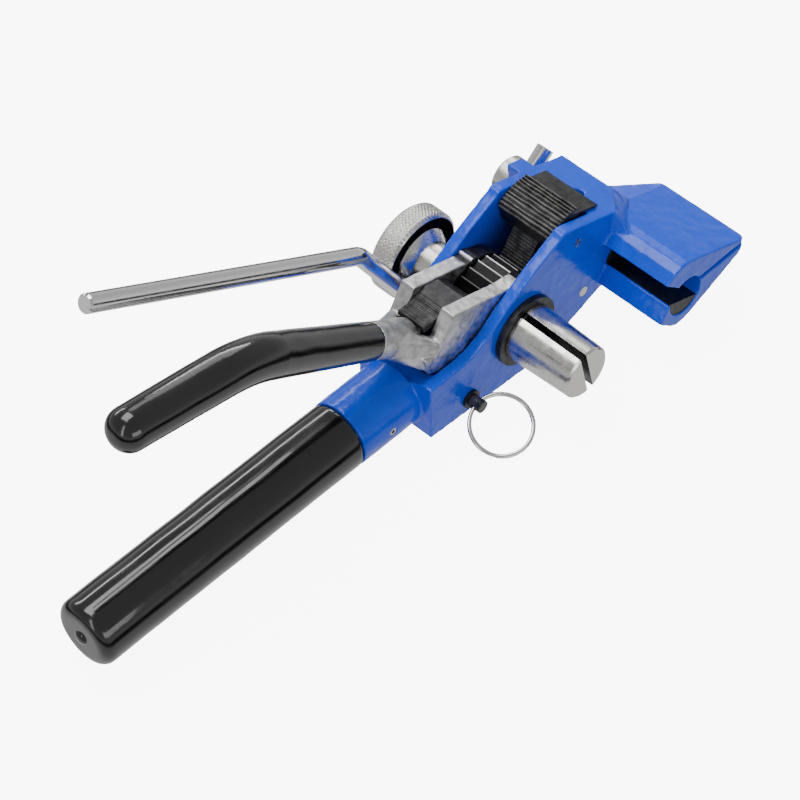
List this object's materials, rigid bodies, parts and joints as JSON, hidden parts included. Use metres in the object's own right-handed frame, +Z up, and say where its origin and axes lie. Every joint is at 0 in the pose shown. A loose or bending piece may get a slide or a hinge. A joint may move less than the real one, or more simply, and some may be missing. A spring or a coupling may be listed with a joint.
{
  "type": "strapping tensioner",
  "caption": "Windlass strapping tensioner: cast body, ratchet lever with thumb pawl, slotted windlass, hand knob and a rod lever that turns a strap cutter in the nose.",
  "frame": {"origin": "windlass axis, half way between the two cheeks of the body", "axes": "+X forward to the cutter nose, +Y along the windlass to the hand knob, +Z up, with the fixed handle along -X"},
  "size_m": [0.328, 0.1051, 0.1512],
  "materials": {
    "blue_enamel": "glossy",
    "black_vinyl": "glossy",
    "chrome_rod": "polished",
    "tube_steel": "plain",
    "nickel_plate": "satin",
    "cast_alloy": "sand blasted",
    "black_oxide": "oiled black",
    "pin_steel": "ground",
    "spring_steel": "plain",
    "bronze": "plain",
    "ring_wire": "polished"
  },
  "bodies": {
    "frame": {"body_casting": "blue_enamel", "handle_tube": "tube_steel", "handle_grip": "black_vinyl", "handle_roll_pin": "pin_steel", "windlass_bush_near": "black_oxide", "windlass_bush_far": "bronze", "holding_pawl_pin": "pin_steel", "pawl_stop_pin": "pin_steel", "cutter_retaining_pin": "pin_steel", "holding_pawl_spring": "spring_steel", "plunger_housing": "black_oxide", "plunger_spring": "spring_steel"},
    "windlass": {"windlass_shaft": "nickel_plate", "ratchet_wheel": "black_oxide", "wheel_key": "pin_steel", "thrust_washer": "bronze", "knob": "nickel_plate", "knob_screw": "pin_steel"},
    "ratchet_arm": {"ratchet_yoke": "cast_alloy", "yoke_bush_near": "bronze", "yoke_bush_far": "bronze", "yoke_eye_near": "black_oxide", "yoke_eye_far": "black_oxide", "eye_dowel": "pin_steel", "drive_pawl_pin": "pin_steel", "pawl_limit_pin": "pin_steel", "drive_pawl_spring": "spring_steel", "ratchet_lever_bar": "tube_steel", "lever_grip": "black_vinyl"},
    "drive_pawl": {"drive_pawl": "black_oxide"},
    "holding_pawl": {"holding_pawl": "black_oxide"},
    "cutter": {"cutter_shaft": "black_oxide", "cutter_hub": "nickel_plate", "hub_clamp_screw": "pin_steel", "cutter_lever": "chrome_rod"},
    "pull_pin": {"plunger_pin": "black_oxide"},
    "pull_ring": {"pull_ring": "ring_wire"}
  },
  "joints": [
    {"name": "windlass_turn", "type": "hinge", "parent": "frame", "child": "windlass", "pos_m": [0, 0, 0], "axis": [0, -1, 0], "continuous": true},
    {"name": "ratchet_swing", "type": "hinge", "parent": "frame", "child": "ratchet_arm", "pos_m": [0, 0, 0], "axis": [0, 1, 0], "range_deg": [0, 60]},
    {"name": "drive_pawl_lift", "type": "hinge", "parent": "ratchet_arm", "child": "drive_pawl", "pos_m": [-0.0243, 0, 0.0085], "axis": [0, -1, 0], "range_deg": [-14.5, 0], "stiffness_Nm_per_rad": 0.2, "springref_deg": -28.65, "deforming": ["drive_pawl_spring"]},
    {"name": "holding_pawl_lift", "type": "hinge", "parent": "frame", "child": "holding_pawl", "pos_m": [0.0378, 0, -0.0075], "axis": [0, 1, 0], "range_deg": [0, 7], "stiffness_Nm_per_rad": 0.5, "springref_deg": -17.19, "deforming": ["holding_pawl_spring"]},
    {"name": "cutter_squeeze", "type": "hinge", "parent": "frame", "child": "cutter", "pos_m": [0.0615, 0, -0.002], "axis": [0, -1, 0], "range_deg": [0, 60]},
    {"name": "pin_pull", "type": "slide", "parent": "frame", "child": "pull_pin", "axis": [0, -1, 0], "range_m": [0, 0.002], "stiffness_N_per_m": 800, "springref_m": -0.001, "deforming": ["plunger_spring"]},
    {"name": "ring_swing", "type": "hinge", "parent": "pull_pin", "child": "pull_ring", "pos_m": [-0.0315, -0.0248, -0.0175], "axis": [0.9703, 0, 0.2419], "range_deg": [-96, 66]}
  ]
}
